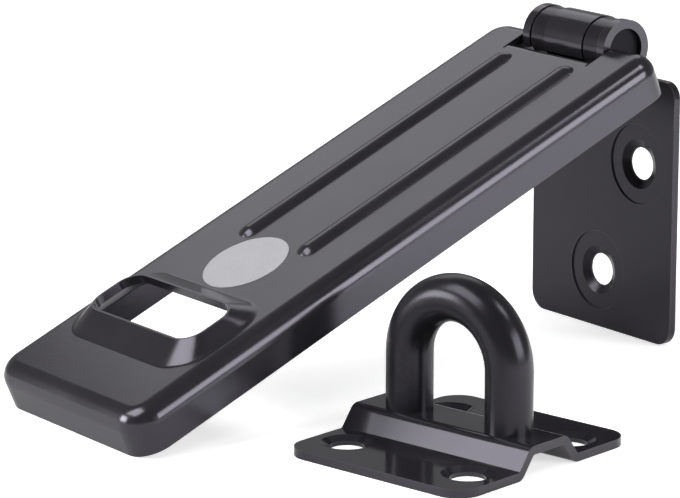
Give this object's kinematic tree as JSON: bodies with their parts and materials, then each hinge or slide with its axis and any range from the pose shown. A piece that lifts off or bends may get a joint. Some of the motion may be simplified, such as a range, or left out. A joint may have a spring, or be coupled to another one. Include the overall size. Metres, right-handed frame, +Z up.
{
  "type": "hasp",
  "caption": "Pressed steel hasp whose tray-shaped arm swings on a pin over a screwed leaf; its collared slot drops over a round-bar staple that takes a padlock.",
  "frame": {"origin": "centre of the leaf's back face, where it meets the door", "axes": "+X along the hinge pin, +Y into the door behind the leaf, +Z up from the leaf's foot to the hinge"},
  "size_m": [0.0907, 0.1196, 0.06],
  "materials": {
    "arm_paint": "semi-gloss black",
    "leaf_paint": "semi-gloss black",
    "pin_steel": "blackened",
    "staple_paint": "semi-gloss black",
    "loop_paint": "semi-gloss black"
  },
  "bodies": {
    "fixed": {"hinge_leaf": "leaf_paint", "hinge_pin": "pin_steel", "staple_plate": "staple_paint", "staple_loop": "loop_paint"},
    "arm": {"hasp_arm": "arm_paint"}
  },
  "joints": [
    {"name": "arm_swing", "type": "hinge", "parent": "fixed", "child": "arm", "pos_m": [0, -0.006, 0.03015], "axis": [1, 0, 0], "range_deg": [-113.37, 66.63]}
  ]
}
